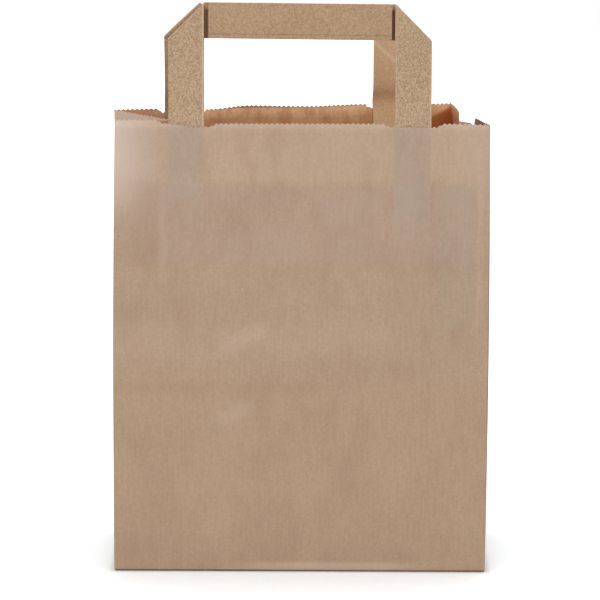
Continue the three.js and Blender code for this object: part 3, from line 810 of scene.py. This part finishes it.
def handle_paper():
    """Tape: rougher paper, a warmer bar, painted shade and highlights, and painted light on the
    back handle's face.
    """
    n, color = kraft("handle_paper", light=(196, 169, 140), dark=(146, 117, 88),
                     fleck=(100, 74, 48), streak=(1, 1, 0.8), cloudy=0.08, streaky=0.45,
                     grain=2.2, fine=1500, soft=0.16)
    x, y, z = n.parts(n.place)
    top, inner = HEIGHT + HANDLE_RISE, HANDLE_SPAN / 2 - TAPE_WIDTH
    first, last = FRONT_SHIFT - inner, FRONT_SHIFT + inner

    # The bar between the legs, and painted shade in the gaps at the ends of its outermost ply
    bar = n.times(n.span(x, first, last, 0.4 * MM),
                  n.ramp(z, top - TAPE_WIDTH - 2 * MM, top - TAPE_WIDTH - 1 * MM))
    color = n.tint(color, (158, 120, 82), bar, 0.3)
    left = n.span(x, first + 0.3 * MM, first + PLY_END + 0.7 * MM, 0.6 * MM)
    right = n.span(x, last - PLY_END, last, 0.3 * MM)
    gap_shade = n.math("ADD", right, n.times(left, 0.9))
    color = n.tint(color, (84, 52, 28), gap_shade, bar, n.ramp(z, top - 1 * MM, top - 4 * MM))

    # Painted highlights on the folded edges of the front handle's legs
    aside = n.math("ABSOLUTE", n.math("SUBTRACT", x, FRONT_SHIFT))
    fold = n.math("ADD", n.span(aside, inner, inner + 0.7 * MM, 0.3 * MM),
                  n.ramp(aside, inner + TAPE_WIDTH - 0.7 * MM, inner + TAPE_WIDTH))
    ahead = n.ramp(y, 12 * MM - half_d, 10 * MM - half_d)
    color = n.tint(color, (226, 204, 176), fold, ahead, 0.3)

    # Face of the back handle: painted light as if through the paper on the right, painted shade on
    # the left, a painted light streak across the fold
    _, facing_y, _ = n.normal()
    face = n.times(n.ramp(facing_y, -0.3, -0.7), n.ramp(y, -30 * MM, -20 * MM))
    through_light = n.times(face, n.ramp(x, -10 * MM, 10 * MM))
    color = n.tint(color, (246, 204, 156), through_light, 0.4)
    color = n.tint(color, (1.3, 1.31, 1.35, 1), through_light, blend="MULTIPLY")
    color = n.tint(color, (112, 88, 70), face, n.ramp(x, -10 * MM, -20 * MM), 0.15)
    slant = n.math("MULTIPLY_ADD", x, 0.95, z)
    crease = n.span(slant, HEIGHT + 65.5 * MM, HEIGHT + 68 * MM, 1.5 * MM)
    return n.paint(n.tint(color, (252, 232, 208), crease, through_light, 0.35))


def patch_paper():
    n, color = kraft("patch_paper", light=(190, 160, 128), dark=(166, 138, 110),
                     fleck=(118, 92, 70))
    return n.paint(color)


def cut_paper():
    """Cut edges: light on the front rim, darker on the back rim, as if seen against the light."""
    n, color = kraft("cut_edge", light=(214, 192, 168), dark=(196, 170, 144), fleck=(150, 124, 98))
    behind = behind_front(n, n.parts(n.place)[1])
    return n.paint(n.tint(color, (132, 106, 86), behind, 0.85))


def dress(obj, slot_name, *nodes):
    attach(obj, "root")
    if nodes:
        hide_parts(*nodes)


patch_material = patch_paper()
sheet, layers = bag_body(body_paper(), inside_paper(), cut_paper())
dress(sheet, "body_paper", "bag_body")
dress(layers, "body_paper")
tape_material = handle_paper()
for wall in ("front", "back"):
    dress(tape_handle(wall, tape_material), "handle_paper", wall + "_handle")
    dress(patch_sheet(wall, patch_material), "patch_paper", wall + "_patch")


# Floor, backdrop and lights: white to the camera, with the bag's soft shadow kept on the floor
FLOOR_SIZE, FLOOR_LEVEL = 3.0, -0.05 * MM
WORLD_LIGHT, WORLD_SEEN = 0.73, 1.0
KEY_LIGHT, TOP_LIGHT = 10, 9  # watts


def background_rays(tree):
    """1 for the rays that show the background: from the camera, mirrored, or through glass."""
    rays = tree.nodes.new("ShaderNodeLightPath").outputs
    seen = rays["Is Camera Ray"]
    for name in ("Is Glossy Ray", "Is Transmission Ray"):
        either = tree.nodes.new("ShaderNodeMath")
        either.operation = "MAXIMUM"
        tree.links.new(seen, either.inputs[0])
        tree.links.new(rays[name], either.inputs[1])
        seen = either.outputs[0]
    return seen


def stage_floor():
    """A pale floor that glows white away from the bag, and is a little blue near it."""
    n = Nodes("floor_white")
    n.put(n.shader["Roughness"], 0.6)
    n.put(n.shader["Specular IOR Level"], 0.2)
    x, y, _ = n.parts(n.place)
    beside = n.math("SUBTRACT", n.math("ABSOLUTE", x), half_w)
    before = n.math("SUBTRACT", n.math("ABSOLUTE", y), half_d)
    away = n.math("MAXIMUM", beside, before)
    glow_color = n.tint((0.78, 0.92, 1, 1), (1, 1, 1, 1), n.ramp(away, 10 * MM, 60 * MM))
    n.put(n.shader["Emission Color"], glow_color)
    near = n.times(n.ramp(away, 0.5 * MM, 4 * MM), 0.22)
    near = n.math("MULTIPLY_ADD", n.ramp(beside, 1 * MM, 12 * MM), 0.08, near)
    glow = n.math("MULTIPLY_ADD", n.ramp(away, 4 * MM, 250 * MM), 0.5, near)
    n.put(n.shader["Emission Strength"], n.times(background_rays(n.tree), glow))
    corners = [Vector((i * FLOOR_SIZE, j * FLOOR_SIZE, FLOOR_LEVEL))
               for i, j in ((-1, -1), (1, -1), (1, 1), (-1, 1))]
    floor = mesh_object("floor", corners, [(0, 1, 2, 3)])
    floor.data.materials.append(n.paint((0.86, 0.86, 0.86, 1)))


def world_light():
    world = bpy.data.worlds.new("studio")
    world.use_nodes = True
    tree = world.node_tree
    background = tree.nodes["Background"]
    background.inputs["Color"].default_value = (1, 1, 1, 1)
    strength = tree.nodes.new("ShaderNodeMapRange")
    strength.inputs["To Min"].default_value = WORLD_LIGHT
    strength.inputs["To Max"].default_value = WORLD_SEEN
    tree.links.new(background_rays(tree), strength.inputs["Value"])
    tree.links.new(strength.outputs[0], background.inputs["Strength"])
    bpy.context.scene.world = world


def area_light(name, place, aim, size, power):
    light = bpy.data.lights.new(name, "AREA")
    light.shape, light.size, light.size_y, light.energy = "RECTANGLE", size, size, power
    obj = bpy.data.objects.new(name, light)
    obj.location = place
    obj.rotation_euler = (Vector(aim) - Vector(place)).to_track_quat("-Z", "Y").to_euler()
    bpy.context.scene.collection.objects.link(obj)


stage_floor()
world_light()
area_light("key", (-0.8, -1.5, 1.0), (0, 0, 0.12), 1.5, KEY_LIGHT)
area_light("top", (0.1, 0.1, 1.5), (0, 0, 0.1), 1.2, TOP_LIGHT)


# Camera at the photograph's viewing angle
CAMERA_DISTANCE = 1.70
CAMERA_PITCH, CAMERA_ROLL = radians(9.15), radians(0.25)
CAMERA_AIM = Vector((-0.35 * MM, -half_d, 132.2 * MM))
FOCAL_PIXELS, FRAME_PIXELS = 3625, 600
SENSOR_WIDTH = 36  # mm

camera_data = bpy.data.cameras.new("camera")
camera_data.sensor_width = SENSOR_WIDTH
camera_data.lens = FOCAL_PIXELS / FRAME_PIXELS * SENSOR_WIDTH
camera = bpy.data.objects.new("camera", camera_data)
away = CAMERA_DISTANCE / cos(CAMERA_PITCH)
back_off = Vector((0, -cos(CAMERA_PITCH), sin(CAMERA_PITCH))) * away
camera.location = CAMERA_AIM + back_off
roll = Quaternion((0, 0, 1), CAMERA_ROLL)
camera.rotation_euler = ((-back_off).to_track_quat("-Z", "Y") @ roll).to_euler()
bpy.context.scene.collection.objects.link(camera)
bpy.context.scene.camera = camera
bpy.context.scene.view_settings.view_transform = "Standard"
